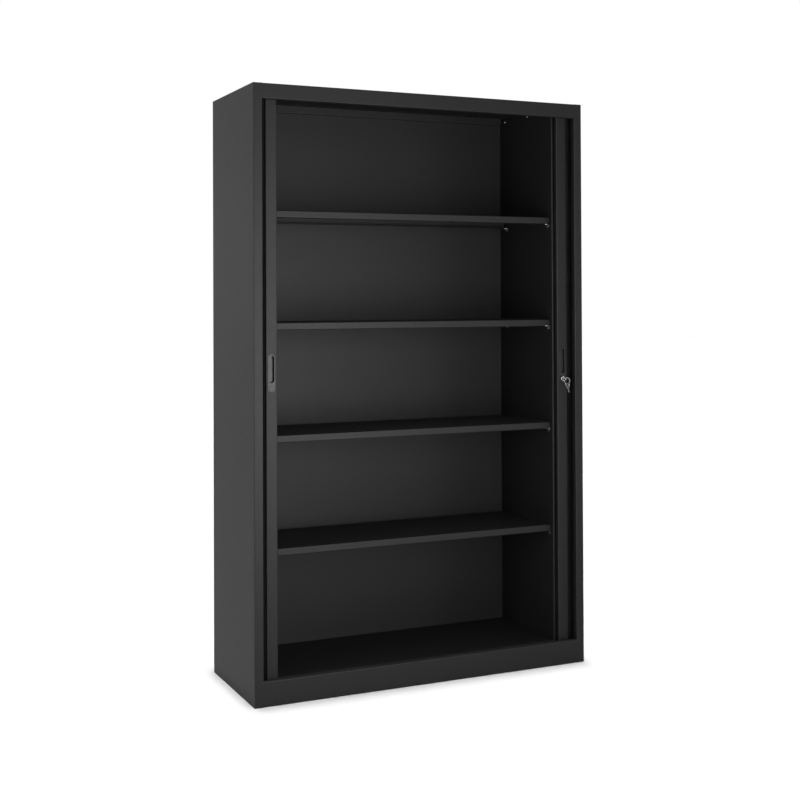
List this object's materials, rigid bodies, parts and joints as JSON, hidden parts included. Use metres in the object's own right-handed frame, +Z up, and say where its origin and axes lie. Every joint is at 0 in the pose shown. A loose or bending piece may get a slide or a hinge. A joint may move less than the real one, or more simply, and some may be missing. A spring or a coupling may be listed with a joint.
{
  "type": "tambour door cabinet",
  "caption": "Tall dark steel office cabinet with side-running tambour doors that slide into side pockets, shelves on clips, a hook lock with keys and levelling feet.",
  "frame": {"origin": "on the floor under the middle of the cabinet", "axes": "+X to the right seen from the front, +Y to the back, +Z up"},
  "size_m": [1.2, 0.45, 1.95],
  "materials": {
    "cabinet_paint": "satin powder coat",
    "door_paint": "satin powder coat",
    "slat_plastic": "satin",
    "track_plastic": "matt, worn smooth in the grooves",
    "grip_plastic": "fine moulded grain",
    "lock_chrome": "polished",
    "zinc_steel": "bright zinc plate",
    "key_steel": "nickel plate"
  },
  "bodies": {
    "carcass": {"left_side_panel": "cabinet_paint", "right_side_panel": "cabinet_paint", "top_panel": "cabinet_paint", "base_rail": "cabinet_paint", "base_pan": "cabinet_paint", "inner_floor": "cabinet_paint", "back_panel": "cabinet_paint", "rear_top_angle": "cabinet_paint", "left_partition": "cabinet_paint", "right_partition": "cabinet_paint", "left_partition_angle": "cabinet_paint", "right_partition_angle": "cabinet_paint", "shelf_1": "cabinet_paint", "shelf_2": "cabinet_paint", "shelf_3": "cabinet_paint", "shelf_4": "cabinet_paint", "lower_front_track": "track_plastic", "upper_front_track": "track_plastic", "left_lower_side_track": "track_plastic", "left_upper_side_track": "track_plastic", "right_lower_side_track": "track_plastic", "right_upper_side_track": "track_plastic", "left_tambour_slats": "slat_plastic", "right_tambour_slats": "slat_plastic", "shelf_clips": "zinc_steel", "partition_screws": "zinc_steel", "foot_nuts": "zinc_steel"},
    "left_door": {"left_end_profile": "door_paint", "left_grip": "grip_plastic", "left_lock_blank": "grip_plastic", "left_strike_plate": "zinc_steel", "left_runners": "track_plastic"},
    "right_door": {"right_end_profile": "door_paint", "right_grip": "grip_plastic", "right_runners": "track_plastic", "lock_housing": "lock_chrome"},
    "lock": {"lock_cylinder": "lock_chrome", "lock_hook": "zinc_steel", "lock_key": "key_steel"},
    "ring": {"key_ring": "key_steel"},
    "spare_key": {"spare_key": "key_steel"},
    "levelling_foot_1": {"levelling_foot_1": "zinc_steel"},
    "levelling_foot_2": {"levelling_foot_2": "zinc_steel"},
    "levelling_foot_3": {"levelling_foot_3": "zinc_steel"},
    "levelling_foot_4": {"levelling_foot_4": "zinc_steel"}
  },
  "joints": [
    {"name": "left_door_slide", "type": "slide", "parent": "carcass", "child": "left_door", "axis": [1, 0, 0], "range_m": [0, 0.513], "deforming": ["left_tambour_slats"]},
    {"name": "right_door_slide", "type": "slide", "parent": "carcass", "child": "right_door", "axis": [-1, 0, 0], "range_m": [0, 0.513], "deforming": ["right_tambour_slats"]},
    {"name": "key_turn", "type": "hinge", "parent": "right_door", "child": "lock", "pos_m": [0.534, -0.19, 0.99], "axis": [0, -1, 0], "range_deg": [0, 90]},
    {"name": "ring_swing", "type": "hinge", "parent": "right_door", "child": "ring", "pos_m": [0.534, -0.2166, 0.9896], "axis": [0, -1, 0], "range_deg": [0, 6]},
    {"name": "spare_key_swing", "type": "hinge", "parent": "ring", "child": "spare_key", "pos_m": [0.54178, -0.2166, 0.97082], "axis": [1, 0, 0], "range_deg": [-60, 12]},
    {"name": "foot_1_screw", "type": "slide", "parent": "carcass", "child": "levelling_foot_1", "axis": [0, 0, -1], "range_m": [0, 0.015]},
    {"name": "foot_2_screw", "type": "slide", "parent": "carcass", "child": "levelling_foot_2", "axis": [0, 0, -1], "range_m": [0, 0.015]},
    {"name": "foot_3_screw", "type": "slide", "parent": "carcass", "child": "levelling_foot_3", "axis": [0, 0, -1], "range_m": [0, 0.015]},
    {"name": "foot_4_screw", "type": "slide", "parent": "carcass", "child": "levelling_foot_4", "axis": [0, 0, -1], "range_m": [0, 0.015]}
  ]
}
